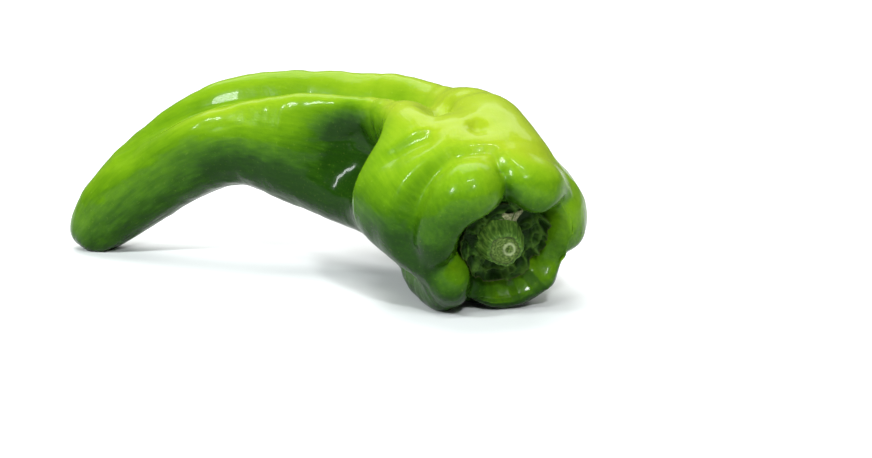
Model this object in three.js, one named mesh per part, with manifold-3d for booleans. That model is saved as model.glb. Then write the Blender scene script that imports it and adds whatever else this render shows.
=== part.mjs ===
// A fresh cubanelle pepper lying on a surface: pod, calyx and cut stem.
// Millimetres, +Z up, origin on the surface under the middle of the pepper.
import * as THREE from 'three';
import { mergeVertices } from 'three/addons/utils/BufferGeometryUtils.js';
import Module from 'manifold-3d';

const wasm = await Module();
wasm.setup();

// ---------------------------------------------------------------- dimensions
const ORIGIN = [-34.645, 43.206];       // footprint centre, in the numbers used below
const POD_RINGS = 58;               // rings from the stem hollow to the tip
const POD_SIDES = 64;               // points around each ring
const CALYX_SIDES = 42;
const CALYX_GAP = 0.4;              // clearance under the calyx
const STEM_SIDES = 28;
const STEM_SEAT = 2.9;              // height of the stem's foot over the hollow floor
const STEM_LENGTH = 7.2;
const STEM_RADII = [6.9, 6.5, 6.1, 5.8, 5.5, 5.1, 4.6];

// Centreline of the pod, from the floor of the stem hollow to the tip.
const PATH = [
  [17, 7, 21], [9.5, 28, 29], [0.5, 46, 30.5], [-10, 59, 32.5], [-22, 66.5, 34], [-37, 72, 36.5],
  [-54, 77, 38], [-68, 80.5, 34.5], [-80, 83.5, 27.5], [-90, 86, 19.5], [-98, 88.2, 12],
  [-103.5, 89.8, 4.8], [-106, 91, -1.5],
];
// Outline turned about the centreline: [distance along it, radius].
const PROFILE = [
  [3.5, 0], [3.2, 7], [2, 11.4], [-2.2, 14], [-6.5, 18.6], [-4, 25.2], [6, 30], [20, 31],
  [33, 29.5], [47, 26.5], [62, 24], [80, 21.5], [98, 18.5], [115, 15.5], [132, 14], [150, 12.5],
  [164, 10.5], [174, 7], [178, 0],
];

// Strokes worked into the skin: [width, power, [[distance along the skin, degrees, height], ...]].
// Degrees run from the right side over the top (90), the left side (180) and the bottom (270).
// The first pass sets the ridges, valleys and hollows.
const BROAD_STROKES = [
  [14, 2, [[30, 40, -2], [38, 46, -4.5], [55, 42, -7], [85, 40, -5]]],  // slope down to the right
  [14, 2, [[28, 10, -2], [50, 8, -2], [70, 10, -1]]],  // flattened right side
  [12, 2, [[50, 95, -2.2], [60, 104, -3]]],  // flattened crown
  [12, 2, [[70, 92, -2.2], [84, 88, -1.8]]],  // dip behind the crown
  [10, 2, [[24, 328, -2], [38, 328, -6], [60, 328, -8], [85, 320, -4]]],  // valley under the right side
  [8, 2, [[33, 212, -3], [45, 214, -7], [66, 215, -6], [82, 218, -3]]],  // valley under the left side
  [13, 2, [[44, 178, 2], [58, 180, 4]]],  // bulge at the left
  [8, 2, [[22, 240, 1], [50, 242, 1.5]]],  // left ridge it lies on
  [10, 2, [[22, 288, 1], [50, 286, 1.5]]],  // right ridge it lies on
  // flattened underside
  [17, 2, [[20, 280, -1.4], [33, 275, -6.6], [44, 277, -5.5],
    [56, 280, -2], [70, 280, 1.8], [84, 280, 0.8]]],
  // hollow behind the bulge
  [11, 3, [[80, 166, -7], [92, 168, -10], [102, 169, -8.5], [116, 173, -5], [132, 176, -0.5]]],
  [6, 2, [[74, 150, -1], [78, 168, -4], [80, 190, -4], [78, 208, -1]]],  // fold at the bend
  // furrow along the top
  [6, 2, [[54, 100, -0.5], [66, 106, -3], [84, 105, -6], [104, 104, -8],
    [130, 106, -8], [150, 120, -7], [168, 124, -5], [186, 128, 0]]],
  // ridge in front of it
  [6, 2, [[52, 128, 0.5], [66, 127, 2], [88, 126, 2.5],
    [110, 125, 2.5], [135, 128, 2], [160, 142, 2], [180, 144, 0]]],
  // ridge behind it
  [8, 2, [[70, 80, 1], [90, 84, 2], [112, 84, 2], [134, 84, 1.8], [155, 100, 1.5], [180, 104, 0]]],
];
// The second pass sets the lobes and creases around the stem, and the dimples.
const FINE_STROKES = [
  // valley between the body and the left bulge
  [13, 2, [[105, 142, -0.8], [110, 161, -2.2], [108, 186, -2.2], [102, 200, -1.6], [95, 210, -0.7]]],
  [3, 1, [[16, 96, -1.5], [22, 97, -4.8], [29, 98, -4.2], [36, 99, -1.5]]],  // crease at the top
  // groove around the left lobes
  [4, 2, [[31, 99, -0.8], [37, 108, -2.5], [40, 121, -3.5],
    [39, 139, -4], [36, 160, -4], [33, 177, -3], [28, 192, -1]]],
  [9, 2, [[26, 118, 3]]],  // upper left lobe
  [6, 2, [[18, 118, -0.4], [18, 145, -1.2]]],  // the hollow opens wider up and left
  [6.5, 2, [[18, 258, -1.5], [18, 285, -4], [18, 304, -3], [18, 314, -0.5]]],  // and wider still below
  [7, 2, [[18, 38, -1.5], [18, 30, -1.5]]],  // and a little up and right
  [8, 2, [[25, 135, 2], [23, 165, 2.5], [20, 183, 2]]],  // left lobe
  [7, 2, [[20, 218, 4]]],  // lower left lobe
  [3.2, 1.3, [[14, 194, -1], [19, 194, -3.2], [24, 194, -1.8], [28, 194, 0]]],  // crease between them
  // crease at the bottom
  [3.5, 1, [[14, 249, -1.5], [19, 250, -5.5], [26, 252, -5.5], [40, 256, -3], [60, 260, -2]]],
  [8, 2, [[18, 274, 2.5], [17, 292, 4.5], [19, 312, 3]]],  // lower right lobe
  // crease at the lower right
  [4, 1.4, [[19, 338, -1], [24, 341, -2.2], [30, 342, -1.8], [38, 342, -0.4]]],
  [9, 2, [[24, 68, 2.3]]],  // upper right lobe
  [6, 2, [[18.5, 88, 2.2], [19, 62, 3.8]]],  // inner edge of the upper right lobe
  [9, 2, [[20, 14, 2]]],  // right lobe
  [4.5, 1.6, [[14, 42, -1], [21, 38, -1.6], [30, 34, -1]]],  // crease at the right
  [5.5, 2, [[54, 147, -1.4], [51, 128, -2]]],  // long dimple
  [4, 2, [[49, 101, -1.8]]],  // round dimple
  [10, 2, [[60, 95, 0.6]]],  // bump on top
  [3, 2, [[68, 100, -1.5], [66, 108, -3.2], [63, 114, -3], [58, 118, -0.8]]],  // crease behind the bump
];

// ------------------------------------------------------------------- helpers
const curveOf = (points) => {
  const curve = new THREE.CatmullRomCurve3(
    points.map(([x, y, z]) => new THREE.Vector3(x, y, z ?? 0)), false, 'catmullrom', 0.5);
  curve.arcLengthDivisions = 2000;
  return curve;
};
const path = curveOf(PATH.map(([x, y, z]) => [x - ORIGIN[0], y - ORIGIN[1], z]));
const profile = curveOf(PROFILE);
const PATH_LENGTH = path.getLength();
const SKIN_LENGTH = profile.getLength();
const UP = new THREE.Vector3(0, 0, 1);

// Place and directions at distance a along the centreline, straight on past its ends.
function frameAt(a) {
  const along = (d) => THREE.MathUtils.clamp(d / PATH_LENGTH, 0, 1);
  const tangent = new THREE.Vector3();
  for (let k = -4; k <= 4; k++) tangent.add(path.getTangentAt(along(a + 0.9 * k)));
  tangent.normalize();
  const end = path.getTangentAt(along(a));
  const beyond = a - along(a) * PATH_LENGTH;
  const centre = path.getPointAt(along(a)).addScaledVector(end, beyond);
  const up = UP.clone().addScaledVector(tangent, -UP.dot(tangent)).normalize();
  const side = new THREE.Vector3().crossVectors(tangent, up);
  return { centre, tangent, up, side };
}

// A ring of points on the turned outline, at distance s along the skin.
function skinRing(s, sides) {
  const { x: a, y: r } = profile.getPointAt(THREE.MathUtils.clamp(s / SKIN_LENGTH, 0, 1));
  const { centre, up, side } = frameAt(a);
  const radius = Math.max(r, 0);
  return Array.from({ length: sides }, (_, j) => {
    const t = (2 * Math.PI * j) / sides;
    return { s, angle: (360 * j) / sides, radius: Math.max(radius, 3),
      point: centre.clone().addScaledVector(side, radius * Math.cos(t))
        .addScaledVector(up, radius * Math.sin(t)) };
  });
}

// Outward directions of a grid of rings, from its own slopes.
function gridNormals(rings) {
  const sides = rings[0].length;
  const normals = rings.map((ring, i) => ring.map((_, j) => {
    const before = rings[Math.max(i - 1, 0)][j].point;
    const after = rings[Math.min(i + 1, rings.length - 1)][j].point;
    const along = after.clone().sub(before);
    const around = ring[(j + 1) % sides].point.clone().sub(ring[(j + sides - 1) % sides].point);
    return along.cross(around).normalize();
  }));
  for (const [end, near] of [[0, 1], [rings.length - 1, rings.length - 2]]) {
    const mean = normals[near].reduce((sum, n) => sum.add(n), new THREE.Vector3()).normalize();
    normals[end] = normals[end].map(() => mean.clone());
  }
  return normals;
}

// Height that one stroke adds at a point of the skin.
function strokeHeight({ s, angle, radius }, [width, power, points]) {
  let near = -1, height = 0;
  for (let k = 0; k + 1 < Math.max(points.length, 2); k++) {
    const [s0, a0, h0] = points[k];
    const [s1, a1, h1] = points[Math.min(k + 1, points.length - 1)];
    const middle = (a0 + a1) / 2;
    const turn = ((((angle - middle + 180) % 360) + 360) % 360) - 180;
    const arc = (degrees) => THREE.MathUtils.degToRad(degrees) * radius;
    const dx = s1 - s0, dy = arc(a1 - a0);
    const x = s - s0, y = arc(turn) - arc(a0 - middle);
    const t = THREE.MathUtils.clamp((x * dx + y * dy) / (dx * dx + dy * dy + 1e-9), 0, 1);
    const distance = Math.hypot(x - t * dx, y - t * dy) / width;
    const weight = Math.exp(0.02 ** (power / 2) - (distance ** 2 + 0.02) ** (power / 2));
    if (weight > near) {
      near = weight;
      height = weight * (h0 + (h1 - h0) * t);
    }
  }
  return height;
}

// Moves every point of the rings along its outward direction.
function displace(rings, heightOf) {
  const normals = gridNormals(rings);
  const heights = rings.map((ring) => ring.map(heightOf));
  for (const i of [0, rings.length - 1]) {
    heights[i].fill(heights[i].reduce((sum, h) => sum + h, 0) / heights[i].length);
  }
  rings.forEach((ring, i) => ring.forEach((p, j) => {
    p.point.addScaledVector(normals[i][j], heights[i][j]);
  }));
}

// Works both passes of strokes into the rings.
function work(rings) {
  for (const strokes of [BROAD_STROKES, FINE_STROKES]) {
    displace(rings, (p) => strokes.reduce((sum, stroke) => sum + strokeHeight(p, stroke), 0));
  }
}

// One closed body from rings of points; the first and last ring close to a point each.
function closedGrid(rings) {
  const sides = rings[0].length;
  const pole = (ring) => ring.reduce((sum, p) => sum.add(p), new THREE.Vector3())
    .divideScalar(sides);
  const first = pole(rings[0]), last = pole(rings[rings.length - 1]);
  const body = rings.slice(1, -1);
  const points = [first, ...body.flat(), last];
  const at = (i, j) => 1 + i * sides + (j % sides);
  const index = [];
  for (let j = 0; j < sides; j++) {
    index.push(0, at(0, j), at(0, j + 1));
    index.push(points.length - 1, at(body.length - 1, j + 1), at(body.length - 1, j));
    for (let i = 0; i + 1 < body.length; i++) {
      index.push(at(i, j), at(i + 1, j), at(i + 1, j + 1));
      index.push(at(i, j), at(i + 1, j + 1), at(i, j + 1));
    }
  }
  const geometry = new THREE.BufferGeometry().setFromPoints(points);
  geometry.setIndex(index);
  return geometry;
}

// Solid from a closed geometry, and back again.
function toSolid(geometry) {
  const bare = mergeVertices(geometry);
  return new wasm.Manifold(new wasm.Mesh({
    numProp: 3,
    vertProperties: new Float32Array(bare.attributes.position.array),
    triVerts: new Uint32Array(bare.index.array),
  }));
}
function toGeometry(solid) {
  const { vertProperties, triVerts } = solid.getMesh();
  const geometry = new THREE.BufferGeometry();
  geometry.setAttribute('position', new THREE.BufferAttribute(vertProperties, 3));
  geometry.setIndex(new THREE.BufferAttribute(triVerts, 1));
  return geometry;
}

function meshOf(name, geometry, colour, roughness) {
  geometry.computeVertexNormals();
  const mesh = new THREE.Mesh(geometry,
    new THREE.MeshStandardMaterial({ color: colour, roughness, metalness: 0 }));
  mesh.name = name;
  return mesh;
}

// ----------------------------------------------------------------------- pod
// Rings stand closer together over the lobed shoulder than along the body.
function podGeometry() {
  const rings = Array.from({ length: POD_RINGS }, (_, i) => {
    const t = i / (POD_RINGS - 1);
    return skinRing(SKIN_LENGTH * t * (0.52 + 0.48 * t), POD_SIDES);
  });
  work(rings);
  const skin = closedGrid(rings.map((ring) => ring.map((p) => p.point)));
  // The weight rests on small flats: everything below the surface is cut away.
  const below = new THREE.BoxGeometry(400, 400, 40).translate(0, 0, -20);
  below.deleteAttribute('normal');
  below.deleteAttribute('uv');
  return toGeometry(toSolid(skin).subtract(toSolid(below)));
}

// --------------------------------------------------------------------- calyx
// A thin ragged cup on the floor of the hollow, its edge lifting off the skin.
// Its outline: how far it reaches along the skin of the hollow, every 15 degrees.
const CALYX_OUTLINE = [12.6, 13.2, 14.8, 14.7, 11.9, 11.1, 11.9, 12.3, 12.5, 12.3, 12, 11.9,
  11.2, 11.3, 10.2, 10.8, 11.7, 12, 12.2, 12, 12.7, 12.3, 12, 12.5];

function calyxReach(angle) {
  const turn = ((angle % 360) + 360) % 360 / 15;
  const i = Math.floor(turn);
  const next = CALYX_OUTLINE[(i + 1) % CALYX_OUTLINE.length];
  return THREE.MathUtils.lerp(CALYX_OUTLINE[i], next, turn - i);
}

function calyxGeometry() {
  const steps = [0, 0.22, 0.42, 0.58, 0.72, 0.86, 1];
  const layer = (u, heightOf) => {
    const ring = Array.from({ length: CALYX_SIDES }, (_, j) => {
      const angle = (360 * j) / CALYX_SIDES;
      return skinRing(u * calyxReach(angle), CALYX_SIDES)[j];
    });
    return ring.map((p) => ({ ...p, lift: heightOf(u) }));
  };
  const under = (u) => CALYX_GAP + 1.6 * u ** 2;
  const thick = (u) => 0.6 + 1.5 * (1 - u) ** 1.5;
  const bottom = steps.map((u) => layer(u, under));
  const top = steps.map((u) => layer(u, (v) => under(v) + thick(v)));
  for (const rings of [bottom, top]) {
    const normals = gridNormals(rings);
    rings.forEach((ring, i) => ring.forEach((p, j) => {
      p.point.addScaledVector(normals[i][j], p.lift);
    }));
  }
  const rings = [...top, ...bottom.reverse()].map((ring) => ring.map((p) => p.point));
  return closedGrid(rings);
}

// ---------------------------------------------------------------------- stem
// A short ribbed stub that bends as it leaves the calyx and ends in a slanted cut.
function stemGeometry() {
  const root = frameAt(PROFILE[0][0]);
  const start = root.tangent.clone().negate();
  const end = new THREE.Vector3(0.13, -0.965, -0.22).normalize();
  const foot = root.centre.clone().addScaledVector(start, STEM_SEAT);
  const ringAt = (t, radius, sink = 0) => {
    const axis = start.clone().lerp(end, t).normalize();
    const centre = foot.clone().addScaledVector(start, STEM_LENGTH * (t - t * t / 2))
      .addScaledVector(end, STEM_LENGTH * t * t / 2).addScaledVector(axis, -sink);
    const up = UP.clone().addScaledVector(axis, -UP.dot(axis)).normalize();
    const side = new THREE.Vector3().crossVectors(up, axis);
    return Array.from({ length: STEM_SIDES }, (_, j) => {
      const angle = (2 * Math.PI * j) / STEM_SIDES;
      const r = radius * (1 + 0.05 * Math.cos(5 * angle + 0.6));
      return centre.clone().addScaledVector(side, r * Math.cos(angle))
        .addScaledVector(up, r * Math.sin(angle));
    });
  };
  const last = STEM_RADII.length - 1;
  const walls = STEM_RADII.map((radius, k) => ringAt(k / last, radius));
  const rings = [ringAt(1, 0, 0.3), ringAt(1, 2.4, 0.2), ...walls.reverse(), ringAt(0, 0)];
  return closedGrid(rings);
}

// -------------------------------------------------------------------- object
const pepper = new THREE.Group();
pepper.name = 'cubanelle_pepper';
pepper.add(
  meshOf('pod', podGeometry(), 0x6f9d1a, 0.25),
  meshOf('calyx', calyxGeometry(), 0x2c4a17, 0.7),
  meshOf('stem', stemGeometry(), 0x55782f, 0.6),
);
export default pepper;
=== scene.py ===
# %% [markdown]
# A cubanelle pepper is one long, thin-walled fruit. It is hollow at the stem end, where a few lobes
# crowd round a dry green collar and a short cut stalk, and it bends and tapers away from there.
# This lesson loads the solid model of the pepper as a fixed frame. Every finer piece below is built
# in the same place, in metres, and then stands for one of the plain solids.

# %% Load the frame
import bpy
import numpy as np
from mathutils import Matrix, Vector


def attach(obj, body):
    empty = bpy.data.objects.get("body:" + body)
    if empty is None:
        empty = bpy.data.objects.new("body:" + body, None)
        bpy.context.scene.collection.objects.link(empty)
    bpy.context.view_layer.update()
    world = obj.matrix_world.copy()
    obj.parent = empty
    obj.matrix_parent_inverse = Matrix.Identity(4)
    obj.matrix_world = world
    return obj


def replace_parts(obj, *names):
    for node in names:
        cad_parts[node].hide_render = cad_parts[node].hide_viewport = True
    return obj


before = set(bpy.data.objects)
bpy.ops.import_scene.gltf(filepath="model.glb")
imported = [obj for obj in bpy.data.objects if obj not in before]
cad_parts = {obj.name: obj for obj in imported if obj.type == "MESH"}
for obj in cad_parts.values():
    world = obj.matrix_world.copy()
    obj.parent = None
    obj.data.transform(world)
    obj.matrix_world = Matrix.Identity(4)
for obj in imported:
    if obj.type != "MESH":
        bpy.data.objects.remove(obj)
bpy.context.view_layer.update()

# %% [markdown]
# The pod could be modelled by pushing and pulling a subdivided cylinder by hand, but a formula
# keeps the lesson repeatable. The shape starts as an outline turned about a bent centreline, like
# clay on a wheel whose axle is curved. Two short lists of numbers hold both lines: the points that
# the centreline goes through, and the distance along it with the radius there.

# %% The two lines of the turned pod, in millimetres
ORIGIN = np.array([-34.645, 43.206, 0.0])
CENTRELINE = np.array([
    (17, 7, 21), (9.5, 28, 29), (0.5, 46, 30.5), (-10, 59, 32.5), (-22, 66.5, 34),
    (-37, 72, 36.5), (-54, 77, 38), (-68, 80.5, 34.5), (-80, 83.5, 27.5), (-90, 86, 19.5),
    (-98, 88.2, 12), (-103.5, 89.8, 4.8), (-106, 91, -1.5)]) - ORIGIN
OUTLINE = np.array([
    (3.5, 0), (3.2, 7), (2, 11.4), (-2.2, 14), (-6.5, 18.6), (-4, 25.2), (6, 30), (20, 31),
    (33, 29.5), (47, 26.5), (62, 24), (80, 21.5), (98, 18.5), (115, 15.5), (132, 14),
    (150, 12.5), (164, 10.5), (174, 7), (178, 0)], float)


def smooth_line(points, count):
    """Points evenly spaced along a smooth curve, and their distances. Between neighbours p1 and p2
    the curve is the cubic that leaves p1 along half of p2 - p0 and reaches p2 along half of
    p3 - p1."""
    ends = np.vstack([2 * points[0] - points[1], points, 2 * points[-1] - points[-2]])
    x = np.linspace(0, len(points) - 1, 4000)
    i = np.minimum(x.astype(int), len(points) - 2)
    w = (x - i)[:, None]
    p0, p1, p2, p3 = ends[i], ends[i + 1], ends[i + 2], ends[i + 3]
    v1, v2 = (p2 - p0) / 2, (p3 - p1) / 2
    fine = ((2 * p1 - 2 * p2 + v1 + v2) * w**3 + (3 * p2 - 3 * p1 - 2 * v1 - v2) * w**2
            + v1 * w + p1)
    gone = np.concatenate([[0], np.cumsum(np.linalg.norm(np.diff(fine, axis=0), axis=1))])
    at = np.linspace(0, gone[-1], count)
    return np.stack([np.interp(at, gone, axis) for axis in fine.T], -1), at


LINE, LINE_AT = smooth_line(CENTRELINE, 2000)
SKIN, SKIN_AT = smooth_line(OUTLINE, 2000)
SKIN_LENGTH = SKIN_AT[-1]
print(f"centreline {LINE_AT[-1]:.0f} mm, skin {SKIN_LENGTH:.0f} mm from stem to tip")

# %% [markdown]
# To carry the outline round the bend, each place on the centreline needs three directions: along,
# up and sideways. The along direction is averaged over a few millimetres, so that a sharp bend
# does not pinch the skin.


# %% Directions along the centreline
def unit(v):
    """Each vector divided by its own length."""
    return v / np.maximum(np.linalg.norm(v, axis=-1, keepdims=True), 1e-12)


TURN = unit(np.gradient(LINE, axis=0))
SMOOTH_TURN = unit(np.stack([
    np.convolve(np.pad(axis, 40, mode="edge"), np.ones(81) / 81, "valid") for axis in TURN.T], -1))


def frame_at(a):
    """Centre, along, up and sideways at distances a. Past either end the line runs straight on.
    Up is the world's up with its part along the line taken away; sideways is along times up."""
    beyond = a - np.clip(a, 0, LINE_AT[-1])
    look = lambda table: np.stack([np.interp(a, LINE_AT, axis) for axis in table.T], -1)
    centre = look(LINE) + beyond[..., None] * unit(look(TURN))
    along = unit(look(SMOOTH_TURN))
    up = unit(np.array([0, 0, 1.0]) - along[..., 2:] * along)
    return centre, along, up, np.cross(along, up)


def turned(s, degrees):
    """The turned pod: at skin distance s and angle t, centre + r (cos t sideways + sin t up).
    Returns the points and the radius."""
    a, r = (np.interp(s, SKIN_AT, axis) for axis in SKIN.T)
    centre, along, up, side = frame_at(a)
    r, t = np.maximum(r, 0)[..., None], np.radians(degrees)[..., None]
    return centre + r * (np.cos(t) * side + np.sin(t) * up), r[..., 0]


def outward(points):
    """Outward directions of a grid: the slope along it times the slope around it."""
    along = np.gradient(points, axis=0)
    around = np.roll(points, -1, 1) - np.roll(points, 1, 1)
    n = unit(np.cross(along, around))
    n[0], n[-1] = unit(n[1].mean(0)), unit(n[-2].mean(0))
    return n


# %% [markdown]
# Lobes, ridges, creases and dents are worked into the turned shape as strokes, the way a sculptor
# draws a loop or a thumb over clay. Each stroke is a path of (distance along the skin, degrees
# round it, height in millimetres) with a width and a power: power 2 rubs in a soft, round groove
# and power 1 cuts a sharp one. Degrees run from the right side over the top (90) to the left side
# (180) and the underside (270).


# %% A stroke worked into the skin
def stroke(s, degrees, radius, width, power, path):
    """Height of one stroke over the whole grid: h * exp(-(distance / width) ^ power), where the
    distance is to the nearest point of the path and h is the height there."""
    path = np.array(path, float)
    height, nearest = np.zeros_like(s), np.full(s.shape, -1.0)
    for (s0, a0, h0), (s1, a1, h1) in zip(path[:-1], path[1:]) if len(path) > 1 else [path[[0, 0]]]:
        middle = (a0 + a1) / 2
        arc = np.radians(1.0) * radius
        x, y = s - s0, ((degrees - middle + 180) % 360 - 180 - (a0 - middle)) * arc
        dx, dy = s1 - s0, (a1 - a0) * arc
        t = np.clip((x * dx + y * dy) / (dx * dx + dy * dy + 1e-9), 0, 1)
        d = np.hypot(x - t * dx, y - t * dy) / width
        weight = np.exp(0.02 ** (power / 2) - (d**2 + 0.02) ** (power / 2))
        height = np.where(weight > nearest, weight * (h0 + (h1 - h0) * t), height)
        nearest = np.maximum(weight, nearest)
    return height


def strokes(s, degrees, radius, rows):
    """Sum of several strokes."""
    return sum(stroke(s, degrees, radius, *row[1:]) for row in rows)


# %% [markdown]
# The first pass sets the big forms: the ridges and the furrow along the top, the hollow behind the
# bulging left shoulder, and the flattened underside that the pepper lies on.

# %% Broad strokes
BROAD = [
    ("slope down to the right", 14, 2, [(30, 40, -2), (38, 46, -4.5), (55, 42, -7), (85, 40, -5)]),
    ("flattened right side", 14, 2, [(28, 10, -2), (50, 8, -2), (70, 10, -1)]),
    ("flattened crown", 12, 2, [(50, 95, -2.2), (60, 104, -3)]),
    ("dip behind the crown", 12, 2, [(70, 92, -2.2), (84, 88, -1.8)]),
    ("valley under the right side", 10, 2, [
        (24, 328, -2), (38, 328, -6), (60, 328, -8), (85, 320, -4)]),
    ("valley under the left side", 8, 2, [
        (33, 212, -3), (45, 214, -7), (66, 215, -6), (82, 218, -3)]),
    ("bulge at the left", 13, 2, [(44, 178, 2), (58, 180, 4)]),
    ("left ridge it lies on", 8, 2, [(22, 240, 1), (50, 242, 1.5)]),
    ("right ridge it lies on", 10, 2, [(22, 288, 1), (50, 286, 1.5)]),
    ("flattened underside", 17, 2, [
        (20, 280, -1.4), (33, 275, -6.6), (44, 277, -5.5), (56, 280, -2), (70, 280, 1.8),
        (84, 280, 0.8)]),
    ("hollow behind the bulge", 11, 3, [
        (80, 166, -7), (92, 168, -10), (102, 169, -8.5), (116, 173, -5), (132, 176, -0.5)]),
    ("fold at the bend", 6, 2, [(74, 150, -1), (78, 168, -4), (80, 190, -4), (78, 208, -1)]),
    ("furrow along the top", 6, 2, [
        (54, 100, -0.5), (66, 106, -3), (84, 105, -6), (104, 104, -8), (130, 106, -8),
        (150, 120, -7), (168, 124, -5), (186, 128, 0)]),
    ("ridge in front of it", 6, 2, [
        (52, 128, 0.5), (66, 127, 2), (88, 126, 2.5), (110, 125, 2.5), (135, 128, 2),
        (160, 142, 2), (180, 144, 0)]),
    ("ridge behind it", 8, 2, [
        (70, 80, 1), (90, 84, 2), (112, 84, 2), (134, 84, 1.8), (155, 100, 1.5), (180, 104, 0)]),
]

# %% [markdown]
# The second pass rounds the lobes that crowd round the stem and cuts the creases between them. It
# follows the new surface of the first pass, so a crease bites straight in even on a steep slope.

# %% Lobes and creases
FINE = [
    ("valley between the body and the left bulge", 13, 2, [
        (105, 142, -0.8), (110, 161, -2.2), (108, 186, -2.2), (102, 200, -1.6), (95, 210, -0.7)]),
    ("crease at the top", 3, 1, [(16, 96, -1.5), (22, 97, -4.8), (29, 98, -4.2), (36, 99, -1.5)]),
    ("groove around the left lobes", 4, 2, [
        (31, 99, -0.8), (37, 108, -2.5), (40, 121, -3.5), (39, 139, -4), (36, 160, -4),
        (33, 177, -3), (28, 192, -1)]),
    ("upper left lobe", 9, 2, [(26, 118, 3)]),
    ("the hollow opens wider up and left", 6, 2, [(18, 118, -0.4), (18, 145, -1.2)]),
    ("and wider still below", 6.5, 2, [
        (18, 258, -1.5), (18, 285, -4), (18, 304, -3), (18, 314, -0.5)]),
    ("and a little up and right", 7, 2, [(18, 38, -1.5), (18, 30, -1.5)]),
    ("left lobe", 8, 2, [(25, 135, 2), (23, 165, 2.5), (20, 183, 2)]),
    ("lower left lobe", 7, 2, [(20, 218, 4)]),
    ("crease between them", 3.2, 1.3, [
        (14, 194, -1), (19, 194, -3.2), (24, 194, -1.8), (28, 194, 0)]),
    ("crease at the bottom", 3.5, 1, [
        (14, 249, -1.5), (19, 250, -5.5), (26, 252, -5.5), (40, 256, -3), (60, 260, -2)]),
    ("lower right lobe", 8, 2, [(18, 274, 2.5), (17, 292, 4.5), (19, 312, 3)]),
    ("crease at the lower right", 4, 1.4, [
        (19, 338, -1), (24, 341, -2.2), (30, 342, -1.8), (38, 342, -0.4)]),
    ("upper right lobe", 9, 2, [(24, 68, 2.3)]),
    ("inner edge of the upper right lobe", 6, 2, [(18.5, 88, 2.2), (19, 62, 3.8)]),
    ("right lobe", 9, 2, [(20, 14, 2)]),
    ("crease at the right", 4.5, 1.6, [(14, 42, -1), (21, 38, -1.6), (30, 34, -1)]),
    ("long dimple", 5.5, 2, [(54, 147, -1.4), (51, 128, -2)]),
    ("round dimple", 4, 2, [(49, 101, -1.8)]),
    ("bump on top", 10, 2, [(60, 95, 0.6)]),
    ("crease behind the bump", 3, 2, [
        (68, 100, -1.5), (66, 108, -3.2), (63, 114, -3), (58, 118, -0.8)]),
]

# %% [markdown]
# The third pass adds the small dents and folds that catch the light, a millimetre deep or less.

# %% Small dents and folds
SMALL = [
    ("lip of the long dimple", 1.6, 2, [(58, 148, 0.5), (56, 135, 0.6), (54, 124, 0.5)]),
    ("long dimple floor", 2.6, 2, [(54, 146, -0.5), (51.5, 130, -0.9)]),
    ("round dimple floor", 2.2, 2, [(49.5, 101, -0.8)]),
    ("round dimple rim", 1.5, 2, [(52, 106, 0.5), (53, 98, 0.6), (50, 93, 0.4)]),
    ("fold below the ridge", 1.8, 1.5, [(118, 165, -0.5), (110, 158, -0.8), (104, 148, -0.4)]),
    ("pinch in the hollow", 1.6, 1.5, [(86, 150, -0.5), (90, 160, -0.9), (88, 172, -0.5)]),
    ("short fold by the bulge", 1.6, 1.5, [(72, 140, -0.5), (69, 150, -0.8), (70, 162, -0.4)]),
    ("crease over the back", 1.8, 1.5, [(58, 60, -0.4), (64, 75, -0.6), (66, 92, -0.3)]),
    ("dent on the far ridge", 3, 2, [(112, 86, -0.5), (118, 84, -0.5)]),
    ("dent on the body", 4, 2, [(140, 150, -0.5), (150, 158, -0.5)]),
]
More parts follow.
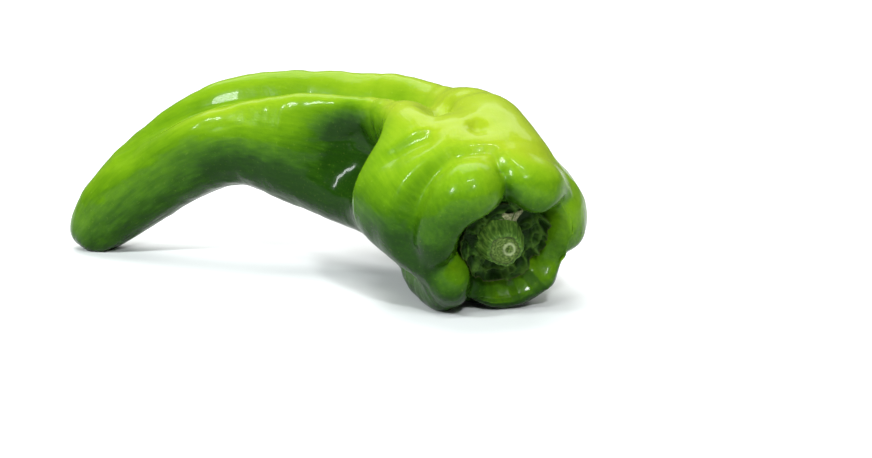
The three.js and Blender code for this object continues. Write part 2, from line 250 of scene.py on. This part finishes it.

# %% [markdown]
# Colour can be laid on with the same tool. These strokes carry a change of tone in place of a
# height: above 0 is lighter and more yellow, which on the yellow crown, slope and saddle is riper
# skin; below 0 is a deeper green. Where they darken the valleys, hollows, creases, furrow,
# underside and the lower faces of the lobes, the darkening is painted shade, and the band on the
# body is a painted highlight.

# %% Strokes of colour
PAINT = [
    # Painted shade: darker green down the deep valley beside the left bulge.
    ("valley beside the left bulge", 8, 2, [
        (108, 142, -0.25), (112, 160, -0.42), (110, 185, -0.45), (104, 206, -0.4),
        (102, 229, -0.25)]),
    # Painted shade: the lower front of the body darkened.
    ("lower body", 10, 2, [
        (154, 198, -0.12), (137, 214, -0.22), (123, 215, -0.22), (109, 221, -0.14)]),
    # Painted shade on the lower left lobe, which faces down.
    ("lower left lobe", 8, 2, [(30, 161, -0.1), (26, 176, -0.1)]),
    # Painted shade along the lower edge of the upper right lobe.
    ("lower edge of the upper right lobe", 8, 2, [(20, 88, -0.1), (23, 65, -0.1)]),
    # Painted shade on the lower front of the upper lobes.
    ("front of the upper lobes", 8, 2, [
        (26, 146, -0.2), (27, 118, -0.16), (26, 72, -0.2), (26, 50, -0.16)]),
    ("shaded foot of the left bulge", 9, 2, [
        (53, 179, -0.12), (45, 184, -0.24), (37, 186, -0.26), (32, 191, -0.14)]),
    ("highlight band on the body", 7, 2, [(159, 154, 0.1), (149, 155, 0.14), (138, 156, 0.06)]),
    ("right lobe", 8, 2, [(21, 18, 0.16), (23, 356, 0.16)]),
    ("far left back", 10, 2, [(173, 108, -0.07), (164, 106, -0.07)]),
    ("yellow crown", 15, 2, [(44, 92, 0.38), (58, 92, 0.42), (66, 80, 0.28)]),
    ("yellow right slope", 12, 2, [(38, 64, 0.26), (50, 58, 0.3), (66, 62, 0.22)]),
    ("saddle", 9, 2, [(54, 120, 0.2), (62, 124, 0.26), (72, 122, 0.22)]),
    ("front ridge", 6, 2, [(72, 124, 0.22), (96, 124, 0.22), (124, 126, 0.14), (160, 140, 0.1)]),
    ("back ridge", 9, 2, [(76, 90, 0.22), (104, 84, 0.16), (134, 84, 0.06), (170, 100, 0)]),
    # Painted shade in the furrow along the top.
    ("furrow", 4, 2, [(84, 106, -0.08), (120, 105, -0.1), (160, 122, -0.08)]),
    # Painted shade deep in the hollow behind the bulge.
    ("front hollow", 14, 2, [(82, 168, -0.26), (96, 171, -0.24), (112, 176, -0.1)]),
    # Painted shade on the lobes below the stem, which face down.
    ("front lobes", 11, 2, [
        (20, 180, -0.1), (19, 216, -0.24), (20, 250, -0.28), (20, 292, -0.28), (20, 320, -0.2)]),
    # Painted shade along the underside of the pod.
    ("under side", 24, 2, [
        (46, 236, -0.14), (80, 240, -0.2), (110, 244, -0.2), (150, 250, -0.14),
        (200, 260, -0.06)]),
    # Painted shade in the creases at the top and the bottom.
    ("crease at the top", 2.4, 1.5, [(14, 96, -0.2), (24, 97, -0.18), (33, 99, -0.05)]),
    ("crease at the bottom", 2.4, 1.5, [(14, 249, -0.2), (26, 252, -0.18)]),
    # Painted shade along the groove at the left lobe edge.
    ("left lobe edge", 5, 2, [(38, 150, -0.04), (34, 176, -0.08), (28, 190, -0.08)]),
]

# %% [markdown]
# Real skin is never quite smooth: it swells and sinks by a few tenths of a millimetre, and that is
# what breaks a highlight into wobbling shapes. A grid of random numbers, smoothly joined, gives
# such swells. The grid wraps round the pod, so it has no seam.


# %% Gentle random swells
def swells(s, degrees, length, around, seed):
    """Smooth random heights from -1 to 1: random numbers on a grid, one every length millimetres
    along the skin and around of them round it, joined by the curve 3w^2 - 2w^3."""
    values = np.random.default_rng(seed).uniform(-1, 1, (int(SKIN_LENGTH / length) + 3, around))
    x, y = s / length, (degrees % 360) / 360 * around
    i, j = np.floor(x).astype(int), np.floor(y).astype(int)
    w, v = x - i, y - j
    w, v = w * w * (3 - 2 * w), v * v * (3 - 2 * v)
    at = lambda p, q: values[np.clip(p, 0, len(values) - 1), q % around]
    low = at(i, j) * (1 - w) + at(i + 1, j) * w
    high = at(i, j + 1) * (1 - w) + at(i + 1, j + 1) * w
    return low * (1 - v) + high * v


# %% The pod's skin
POD_RINGS, POD_SIDES = 336, 288
# Each row: height in millimetres, length in millimetres, number round the pod, random seed.
SKIN_SWELLS = [(0.38, 13, 11, 1), (0.19, 5, 29, 2), (0.05, 2.2, 64, 3), (0.05, 1.5, 10, 5)]
ring_at = np.linspace(0, 1, POD_RINGS)
s, degrees = np.meshgrid(SKIN_LENGTH * ring_at * (0.7 + 0.3 * ring_at),
                         np.linspace(0, 360, POD_SIDES, endpoint=False), indexing="ij")
skin, radius = turned(s, degrees)
radius = np.maximum(radius, 3)
for rows in (BROAD, FINE, SMALL):
    lift = strokes(s, degrees, radius, rows)
    if rows is SMALL:
        wobble = sum(high * swells(s, degrees, *grid) for high, *grid in SKIN_SWELLS)
        lift = lift + wobble * np.clip(s / 20, 0, 1)
    lift[[0, -1]] = lift[[0, -1]].mean(1, keepdims=True)
    skin = skin + outward(skin) * lift[..., None]
skin[..., 2] = np.maximum(skin[..., 2], 0)
print("pod, mm:", np.ptp(skin.reshape(-1, 3), axis=0).round(1))

# %% [markdown]
# A grid of points becomes a mesh by joining neighbours with four-sided faces and closing each end
# with a fan of triangles round one point. Numbers that belong to the surface, such as how ripe the
# skin is at each point, travel with the mesh as attributes that a material can read.


# %% Grid to mesh
def make_piece(name, points, facts):
    """A closed smooth mesh from a grid of rings in millimetres. facts maps attribute names to one
    number, or one vector, per grid point."""
    rings, sides = points.shape[:2]
    inner = np.arange((rings - 2) * sides).reshape(rings - 2, sides) + 1
    last = inner.size + 1
    a, b = inner[:-1], inner[1:]
    quads = np.stack([a, b, np.roll(b, -1, 1), np.roll(a, -1, 1)], -1).reshape(-1, 4)
    first_ring, last_ring = inner[0], inner[-1]
    caps = np.concatenate([
        np.stack([np.zeros(sides, int), first_ring, np.roll(first_ring, -1)], -1),
        np.stack([np.full(sides, last), np.roll(last_ring, -1), last_ring], -1)])

    def flat(values):
        """Grid values in vertex order, each closed end as its ring's mean."""
        return np.concatenate([values[:1].mean(1), values[1:-1].reshape(-1, *values.shape[2:]),
                               values[-1:].mean(1)])

    mesh = bpy.data.meshes.new(name)
    mesh.from_pydata((flat(points) / 1000).tolist(), [], quads.tolist() + caps.tolist())
    mesh.polygons.foreach_set("use_smooth", np.ones(len(mesh.polygons), bool))
    for fact, values in facts.items():
        values = flat(np.asarray(values, float))
        kind, key = ("FLOAT_VECTOR", "vector") if values.ndim == 2 else ("FLOAT", "value")
        mesh.attributes.new(fact, kind, "POINT").data.foreach_set(key, values.ravel())
    piece = bpy.data.objects.new(name, mesh)
    bpy.context.scene.collection.objects.link(piece)
    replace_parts(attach(piece, "root"), name.split("_")[0])
    print(name, len(mesh.vertices), "points")
    return piece


# %% [markdown]
# A ripening cubanelle is yellow-green where the sun reached it and deep green below. Instead of an
# image, the tone is one number per point, painted with the same strokes as the shape: it starts
# from how far the skin faces up, which is partly that ripe colour and partly painted shade on the
# faces turned down. Then patches are lightened, and creases, hollows and the lower lobes are
# darkened with painted shade.

# %% Paint the tone of the skin
# The tone of skin that faces sideways, what facing up adds, and what each millimetre of height
# above the middle adds.
SIDE_TONE, UP_TONE, HIGH_TONE, MIDDLE_HEIGHT = 0.38, 0.29, 0.002, 30
facing = outward(skin)
# Downward faces and low skin come out darker: partly the deep green below, partly painted shade.
tone = SIDE_TONE + UP_TONE * facing[..., 2] + HIGH_TONE * (skin[..., 2] - MIDDLE_HEIGHT)
tone = tone + strokes(s, degrees, radius, PAINT) + 0.03 * swells(s, degrees, 9, 17, 4)
# Painted shade: the skin darkens towards the stem inside the hollow.
hollow = np.clip(1 - s / 15, 0, 1)
tone = np.clip(tone - 0.25 * hollow, 0, 1)
around = np.radians(degrees)
flow = np.stack([s, radius * np.cos(around), radius * np.sin(around)], -1)
pod = make_piece("pod_skin", skin, {"tone": tone, "flow": flow})

# %% [markdown]
# The calyx is the dry green collar under the stalk. It grew as a ring of joined sepals, so its
# outline has a blunt point where each sepal ends, and in drying it wrinkled, curled off the skin
# and browned along the edge. It is the same turned surface again, lifted straight out of the
# hollow: one sheet out to the ragged edge and one back underneath, so that it has a real
# thickness.

# %% The ragged collar
CALYX_GAP = 0.4
CALYX_SPREAD = 1.07
# How far the plain collar reaches along the skin of the hollow, every 15 degrees. The crumpled
# one spreads a little wider.
CALYX_OUTLINE = [12.6, 13.2, 14.8, 14.7, 11.9, 11.1, 11.9, 12.3, 12.5, 12.3, 12, 11.9,
                 11.2, 11.3, 10.2, 10.8, 11.7, 12, 12.2, 12, 12.7, 12.3, 12, 12.5]
CALYX_RINGS, CALYX_SIDES = 64, 288


def calyx_sheet(u, turn):
    """Shape of the collar: u runs from the middle (0) to the edge (1), turn is the angle.
    The reach runs straight from point to point of the outline; the lift grows with u squared and
    curls up over the last third."""
    reach = CALYX_SPREAD * np.interp(turn % 360, np.arange(0, 361, 15),
                                     CALYX_OUTLINE + CALYX_OUTLINE[:1])
    rough = swells(np.full_like(turn, 3.0), turn, 4, 41, 11)
    reach = reach + 0.55 * rough + 0.4 * swells(np.full_like(turn, 3.0), turn, 4, 90, 12)
    s_at = u * reach
    base, _ = turned(s_at, turn)
    curl = np.maximum(0, (u - 0.68) / 0.32) ** 2
    lean = 0.9 + 1.2 * swells(np.full_like(turn, 9.0), turn, 3.6, 9, 13)
    lift = CALYX_GAP + 1.6 * u**2 + 1.6 * np.sin(np.pi * u) ** 2 + lean * curl
    fade = np.clip((u - 0.3) / 0.3, 0, 1)
    creases = 1 - np.abs(swells(s_at, turn, 2.6, 23, 14))
    fine = 1 - np.abs(swells(s_at, turn, 1.1, 60, 15))
    crumple = swells(s_at, turn, 4.5, 31, 16)
    wrinkle = fade * (1.25 * creases**3 + 0.45 * fine**2 + 0.6 * crumple - 0.5)
    return base, lift, wrinkle


u, turn = np.meshgrid(np.linspace(0, 1, CALYX_RINGS),
                      np.linspace(0, 360, CALYX_SIDES, endpoint=False), indexing="ij")
base, lift, wrinkle = calyx_sheet(u, turn)
thick = 0.35 + 1.7 * (1 - u) ** 1.5
rise = -frame_at(np.array([OUTLINE[0, 0]]))[1][0]
over = base + rise * (lift + thick + np.maximum(wrinkle, -0.3))[..., None]
under = base + rise * (lift + 0.4 * np.maximum(wrinkle, 0))[..., None]
collar = np.concatenate([over, under[::-1]])
both = lambda values: np.concatenate([values, values[::-1]])
calyx = make_piece("calyx_collar", collar, {
    "dried": both(np.clip((u - 0.975) / 0.025, 0, 1)), "wrinkle": both(wrinkle),
    "flow": both(np.stack([turn / 10, u * 12, 0 * u], -1))})

# %% [markdown]
# The stalk was snipped off short. Its stub swells at the foot, carries shallow ribs, and ends in a
# slanted cut: a pale face with a raised rim and the ring of tubes that fed the fruit. Rings of
# points carried along a slightly bent axis make the side, and rings that shrink to the middle
# make the cut.

# %% The stub of the stem
STEM_SEAT, STEM_LENGTH = 2.9, 7.2
STEM_END = unit(np.array([0.13, -0.965, -0.22]))
STEM_RADII = [6.9, 6.5, 6.1, 5.8, 5.5, 5.1, 4.6]
STEM_SIDES = 160

foot, along, foot_up, foot_side = (v[0] for v in frame_at(np.array([OUTLINE[0, 0]])))
# Rows: place along the stem and radius, from the middle of the cut out and down to the foot.
wall = np.linspace(0, 1, 46)
wall_radius = np.interp(wall, np.linspace(0, 1, 7), STEM_RADII)
wall_radius[-3:] -= [0.05, 0.2, 0.5]
face = np.linspace(0.985, 0, 36)
rows = np.concatenate([
    np.stack([1 + 0 * face, face * (wall_radius[-1] - 0.05)], -1)[::-1],
    np.stack([wall, wall_radius], -1)[::-1],
    [(0, 0)]])
place, reach = (np.repeat(column[:, None], STEM_SIDES, 1) for column in rows.T)
on_cut = np.zeros(place.shape)
on_cut[:len(face)] = 1
turn = np.repeat(np.linspace(0, 2 * np.pi, STEM_SIDES, endpoint=False)[None], len(rows), 0)
turn_degrees = np.degrees(turn)
rib = (0.05 * np.cos(5 * turn + 0.6) + 0.02 * np.cos(13 * turn)
       + 0.012 * swells(place * 8, turn_degrees, 3, 40, 21))
reach = reach * (1 + rib)
pith = np.hypot(reach * np.cos(turn) - 1.2, 0.86 * (reach * np.sin(turn) - 0.1))
pith = pith * (1 + 0.10 * swells(reach * 2, turn_degrees, 1.4, 12, 24))
ring = np.exp(-((pith - 1.35) / 0.35) ** 2)
rind = np.exp(-((reach - wall_radius[-1]) / 0.5) ** 2)
height = on_cut * (0.28 * ring - 0.35 * np.exp(-(pith / 0.8) ** 2)
                   + 0.22 * swells(reach * 2, turn_degrees, 1.6, 17, 22)
                   + 0.10 * swells(reach * 4, turn_degrees, 1.2, 60, 23)
                   + 0.35 * rind - 0.2)
bend = unit(-along + place[..., None] * (STEM_END + along))
middle = (foot - along * STEM_SEAT
          + STEM_LENGTH * ((place - place**2 / 2)[..., None] * -along
                           + (place**2 / 2)[..., None] * STEM_END))
up = unit(np.array([0, 0, 1.0]) - bend[..., 2:] * bend)
across = np.cross(up, bend)
stub = (middle + bend * height[..., None]
        + reach[..., None] * (np.cos(turn)[..., None] * across + np.sin(turn)[..., None] * up))
stem = make_piece("stem_stub", stub, {
    "cut": on_cut, "ring": on_cut * ring, "rim": on_cut * rind,
    "flow": np.where(on_cut[..., None] > 0,
                     np.stack([reach * np.cos(turn), reach * np.sin(turn), reach], -1),
                     np.stack([place * 9, turn * 8, reach], -1))})

# %% [markdown]
# A scrap of the calyx has torn loose and dried to straw. It is a small three-cornered sheet with a
# ragged rim, bent over the stub.

# %% The torn scrap
SCRAP_WIDE, SCRAP_TALL, SCRAP_THICK = 3.2, 2.4, 0.14
v, turn = np.meshgrid(np.linspace(0, 1, 20), np.linspace(0, 360, 120, endpoint=False),
                      indexing="ij")
around = np.radians(turn)
ragged = v * (1 + 0.55 * swells(np.full_like(turn, 3.0), turn, 4, 19, 31))
tip = np.maximum(0, -np.sin(around))
x = SCRAP_WIDE * ragged * np.cos(around) * (1 - 0.5 * tip)
y = SCRAP_TALL * ragged * np.where(tip > 0, 1.0, 0.35) * np.sin(around)
y = y + 0.8 * (x / SCRAP_WIDE) ** 2 + 0.3 * x / SCRAP_WIDE
crinkle = 0.25 * swells(np.full_like(turn, 9.0) + 3 * v, turn, 1.5, 9, 32) * v
facing_out = unit(STEM_END - along)
scrap_up = unit(np.array([0, 0, 1.0]) - facing_out[2] * facing_out)
scrap_side = np.cross(scrap_up, facing_out)
scrap_middle = foot - along * (STEM_SEAT + 1.6) + scrap_up * 7.2 + scrap_side * 2.0
sheet = (scrap_middle + x[..., None] * scrap_side + y[..., None] * scrap_up
         + (crinkle - 0.10 * x**2 / 2)[..., None] * facing_out)
scrap = make_piece("calyx_scrap", np.concatenate([sheet + facing_out * SCRAP_THICK, sheet[::-1]]),
                   {"flow": both(np.stack([x, y, 0 * x], -1)), "rim": both(v)})

# %% [markdown]
# Every finish here needs the same thing: fine mottling and speckle that follows the surface. One
# node group does it once. It takes the flow attribute, stretches it, and puts out a soft mottle, a
# fine speckle and a streaky grain that runs along the fruit.

# %% Shared mottle group
def new_group(name, inputs, outputs):
    """An empty node group with the named float or vector sockets."""
    group = bpy.data.node_groups.new(name, "ShaderNodeTree")
    for way, sockets in (("INPUT", inputs), ("OUTPUT", outputs)):
        for socket, kind, value in sockets:
            made = group.interface.new_socket(socket, in_out=way, socket_type=kind)
            if value is not None:
                made.default_value = value
    return group, group.nodes.new("NodeGroupInput"), group.nodes.new("NodeGroupOutput")


def node(tree, kind, inputs=(), **settings):
    """A node with its settings, and its inputs set or linked: (socket, value or output)."""
    made = tree.nodes.new("ShaderNode" + kind)
    for key, value in settings.items():
        setattr(made, key, value)
    for socket, value in inputs:
        if isinstance(value, bpy.types.NodeSocket):
            tree.links.new(value, made.inputs[socket])
        else:
            made.inputs[socket].default_value = value
    return made


def maths(tree, operation, a, b=0.0, clamp=False):
    """One Math node's output."""
    return node(tree, "Math", [(0, a), (1, b)], operation=operation, use_clamp=clamp).outputs[0]


def noise(tree, vector, scale, detail=3.0, rough=0.55):
    """One Noise Texture's grey output."""
    return node(tree, "TexNoise", [("Vector", vector), ("Scale", scale), ("Detail", detail),
                                   ("Roughness", rough)]).outputs[0]


FLOAT, VECTOR = "NodeSocketFloat", "NodeSocketVector"
mottle, given, taken = new_group(
    "skin_mottle",
    [("Flow", VECTOR, None), ("Size", FLOAT, 1.0)],
    [("Mottle", FLOAT, None), ("Speckle", FLOAT, None), ("Grain", FLOAT, None)])
sized = node(mottle, "VectorMath", [(0, given.outputs["Flow"]), ("Scale", given.outputs["Size"])],
             operation="SCALE").outputs[0]
drawn = node(mottle, "Mapping", [("Vector", sized), ("Scale", (0.12, 1.0, 1.0))]).outputs[0]
mottle.links.new(noise(mottle, sized, 0.16, 4.0), taken.inputs["Mottle"])
mottle.links.new(noise(mottle, sized, 1.4, 2.0, 0.6), taken.inputs["Speckle"])
mottle.links.new(noise(mottle, drawn, 0.9, 3.0, 0.6), taken.inputs["Grain"])
print("node group", mottle.name)


# %% A material to start from
def new_material(name):
    """A material with its Principled shader, the flow attribute and the mottle group placed."""
    material = bpy.data.materials.new(name)
    material.use_nodes = True
    tree = material.node_tree
    flow = node(tree, "Attribute", attribute_name="flow").outputs["Vector"]
    effect = tree.nodes.new("ShaderNodeGroup")
    effect.node_tree = mottle
    tree.links.new(flow, effect.inputs["Flow"])
    return material, tree, tree.nodes["Principled BSDF"], effect.outputs


def fact(tree, name):
    """A number that travels with the mesh."""
    return node(tree, "Attribute", attribute_name=name).outputs["Fac"]


def ramp(tree, value, stops):
    """Colours along a value: stops are (place, (r, g, b))."""
    made = node(tree, "ValToRGB", [("Fac", value)])
    made.color_ramp.interpolation = "B_SPLINE" if len(stops) > 3 else "LINEAR"
    while len(made.color_ramp.elements) < len(stops):
        made.color_ramp.elements.new(0.5)
    for element, (place_, colour) in zip(made.color_ramp.elements, stops):
        element.position = place_
        element.color = (*colour, 1)
    return made.outputs["Color"]


def mix(tree, amount, a, b):
    """a and b mixed by amount, as colours."""
    made = node(tree, "Mix", [("Factor", amount)], data_type="RGBA")
    for socket, value in ((6, a), (7, b)):
        if isinstance(value, bpy.types.NodeSocket):
            tree.links.new(value, made.inputs[socket])
        else:
            made.inputs[socket].default_value = (*value, 1)
    return made.outputs[2]


# %% [markdown]
# Pepper skin is wet-looking because a clear wax lies over a coloured layer. A Principled shader
# with a low roughness and a thin coat gives both. The colour runs along a ramp from deep green to
# yellow by the painted tone, shifted a little by the mottle and the grain, and a faint relief of
# the same grain keeps the highlights from looking like glass.

# %% Waxy skin
skin_material, tree, shader, out = new_material("waxy_skin")
shift = maths(tree, "MULTIPLY", maths(tree, "SUBTRACT", out["Mottle"], 0.5), 0.16)
streak = maths(tree, "MULTIPLY", maths(tree, "SUBTRACT", out["Grain"], 0.5), 0.22)
value = maths(tree, "ADD", maths(tree, "ADD", fact(tree, "tone"), shift), streak, clamp=True)
colour = ramp(tree, value, [
    (0.0, (0.004, 0.022, 0.001)), (0.25, (0.028, 0.095, 0.002)), (0.5, (0.110, 0.245, 0.003)),
    (0.75, (0.200, 0.340, 0.008)), (1.0, (0.270, 0.355, 0.014))])
pale = maths(tree, "MULTIPLY", maths(tree, "SUBTRACT", out["Speckle"], 0.62, clamp=True), 0.5)
tree.links.new(mix(tree, pale, colour, (0.45, 0.60, 0.08)), shader.inputs["Base Color"])
tree.links.new(maths(tree, "ADD", 0.16, maths(tree, "MULTIPLY", out["Speckle"], 0.16)),
               shader.inputs["Roughness"])
relief = maths(tree, "ADD", out["Speckle"], maths(tree, "MULTIPLY", out["Grain"], 1.2))
bump = node(tree, "Bump", [("Strength", 0.35), ("Distance", 0.00012), ("Height", relief)])
tree.links.new(bump.outputs[0], shader.inputs["Normal"])
shader.inputs["Specular IOR Level"].default_value = 0.05
shader.inputs["Coat Weight"].default_value = 0.09
shader.inputs["Coat Roughness"].default_value = 0.06
pod.data.materials.append(skin_material)

# %% [markdown]
# The calyx has dried to a dull dark green, and only its very edge has turned brown; the darker
# green in its folds is painted shade. The dried and wrinkle numbers made with the mesh steer the
# colours.

# %% Dry calyx
calyx_material, tree, shader, out = new_material("dry_calyx")
# Painted shade: the folds, where the wrinkle number is low, get the darkest greens.
green = ramp(tree, maths(tree, "ADD", maths(tree, "MULTIPLY", fact(tree, "wrinkle"), 0.7),
                         maths(tree, "MULTIPLY", out["Mottle"], 0.55), clamp=True), [
    (0.15, (0.006, 0.020, 0.002)), (0.5, (0.015, 0.046, 0.004)), (0.9, (0.045, 0.100, 0.012))])
browned = maths(tree, "MULTIPLY", fact(tree, "dried"),
                maths(tree, "MULTIPLY", out["Mottle"], 1.3, clamp=True), clamp=True)
brown = mix(tree, maths(tree, "SUBTRACT", out["Speckle"], 0.35, clamp=True),
            (0.030, 0.032, 0.008), (0.20, 0.20, 0.08))
tree.links.new(mix(tree, browned, green, brown), shader.inputs["Base Color"])
shader.inputs["Roughness"].default_value = 0.5
shader.inputs["Specular IOR Level"].default_value = 0.08
bump = node(tree, "Bump", [("Strength", 0.8), ("Distance", 0.0004), ("Height", out["Speckle"])])
tree.links.new(bump.outputs[0], shader.inputs["Normal"])
calyx.data.materials.append(calyx_material)

# %% [markdown]
# The torn scrap is the same tissue dried through: straw-coloured, and dark along part of its rim.

# %% Straw-coloured scrap
straw_material, tree, shader, out = new_material("dry_straw")
straw = ramp(tree, out["Speckle"], [(0.35, (0.05, 0.07, 0.015)), (0.65, (0.30, 0.31, 0.15))])
singed = maths(tree, "MULTIPLY", maths(tree, "POWER", fact(tree, "rim"), 6.0), out["Mottle"])
tree.links.new(mix(tree, singed, straw, (0.05, 0.04, 0.015)), shader.inputs["Base Color"])
shader.inputs["Roughness"].default_value = 0.7
scrap.data.materials.append(straw_material)

# %% [markdown]
# The stub is greener than the calyx, with streaks along it. The cut is pale and fibrous, and its
# ring of tubes is almost white.

# %% Cut stem
stem_material, tree, shader, out = new_material("cut_stem")
side = ramp(tree, out["Grain"], [
    (0.3, (0.018, 0.050, 0.006)), (0.5, (0.055, 0.125, 0.016)), (0.72, (0.15, 0.26, 0.04))])
face_colour = ramp(tree, out["Speckle"], [
    (0.3, (0.022, 0.050, 0.007)), (0.5, (0.065, 0.115, 0.018)), (0.7, (0.14, 0.21, 0.05))])
face_colour = mix(tree, maths(tree, "MULTIPLY", fact(tree, "ring"), 0.8), face_colour,
                  (0.30, 0.36, 0.18))
face_colour = mix(tree, maths(tree, "MULTIPLY", fact(tree, "rim"), 0.75), face_colour,
                  (0.018, 0.030, 0.007))
tree.links.new(mix(tree, fact(tree, "cut"), side, face_colour), shader.inputs["Base Color"])
shader.inputs["Roughness"].default_value = 0.42
shader.inputs["Specular IOR Level"].default_value = 0.1
bump = node(tree, "Bump", [("Strength", 0.7), ("Distance", 0.0003), ("Height", out["Grain"])])
tree.links.new(bump.outputs[0], shader.inputs["Normal"])
stem.data.materials.append(stem_material)

# %% [markdown]
# The pepper lies on a plain white table that runs off to a white background. Only the table needs
# a mesh; the background is the world's colour.

# %% Table and background
FLOOR_HALF = 3.0
TABLE_COLOUR, TABLE_ROUGHNESS = (0.86, 0.87, 0.87, 1), 0.7
BACKGROUND_LIGHT = 0.16
floor_mesh = bpy.data.meshes.new("floor")
corners = np.array([(-1, -1, 0), (1, -1, 0), (1, 1, 0), (-1, 1, 0)]) * FLOOR_HALF
floor_mesh.from_pydata(corners.tolist(), [], [(0, 1, 2, 3)])
floor = bpy.data.objects.new("floor", floor_mesh)
bpy.context.scene.collection.objects.link(floor)
white = bpy.data.materials.new("white_table")
white.use_nodes = True
matt = white.node_tree.nodes["Principled BSDF"].inputs
matt["Base Color"].default_value = TABLE_COLOUR
matt["Roughness"].default_value = TABLE_ROUGHNESS
floor_mesh.materials.append(white)
world = bpy.data.worlds.new("studio")
bpy.context.scene.world = world
world.use_nodes = True
world.node_tree.nodes["Background"].inputs["Color"].default_value = (1, 1, 1, 1)
world.node_tree.nodes["Background"].inputs["Strength"].default_value = BACKGROUND_LIGHT

# %% [markdown]
# Soft light from above and behind lifts the yellow top, and three smaller windows in front draw
# the highlights on the lobes. A panel at the back brightens the far table. An area light's size
# sets how soft its edge is, and its distance and power how bright.


# %% Lights
def window(name, place_, aim, width, depth, power, colour_=(1, 1, 1)):
    """A rectangular area light at place_, turned towards aim, all in metres."""
    light = bpy.data.lights.new(name, "AREA")
    light.shape = "RECTANGLE"
    light.size, light.size_y, light.energy, light.color = width, depth, power, colour_
    lamp = bpy.data.objects.new(name, light)
    bpy.context.scene.collection.objects.link(lamp)
    lamp.location = place_
    lamp.rotation_euler = (Vector(aim) - Vector(place_)).to_track_quat("-Z", "Y").to_euler()


PEPPER = (0.0, 0.0, 0.03)
window("overhead", (-0.02, 0.14, 0.65), PEPPER, 0.46, 0.36, 3.0)
window("left_window", (-0.46, -0.38, 0.44), PEPPER, 0.10, 0.13, 3.6, (0.93, 0.98, 1.0))
window("strip", (0.02, -0.42, 0.60), PEPPER, 0.28, 0.03, 1.8, (0.95, 0.99, 1.0))
window("front_window", (0.14, -0.50, 0.36), PEPPER, 0.05, 0.06, 2.0, (0.95, 0.99, 1.0))
window("back_panel", (0.0, 0.85, 0.9), (0.0, 0.85, 0.0), 1.6, 0.7, 13.0)

# %% [markdown]
# The camera looks slightly down at the stem end, with a moderately long lens, so that the near
# shoulder is not swollen by perspective.

# %% Camera
CAMERA_PLACE = (0.034645, -0.673666, 0.15911)
CAMERA_DOWN = 12.0
LENS, SENSOR_WIDTH = 100.0, 36.0
camera_data = bpy.data.cameras.new("camera")
camera_data.lens, camera_data.sensor_width = LENS, SENSOR_WIDTH
camera = bpy.data.objects.new("camera", camera_data)
bpy.context.scene.collection.objects.link(camera)
camera.location = CAMERA_PLACE
camera.rotation_euler = (np.radians(90 - CAMERA_DOWN), 0, 0)
bpy.context.scene.camera = camera
bpy.context.scene.view_settings.view_transform = "Standard"
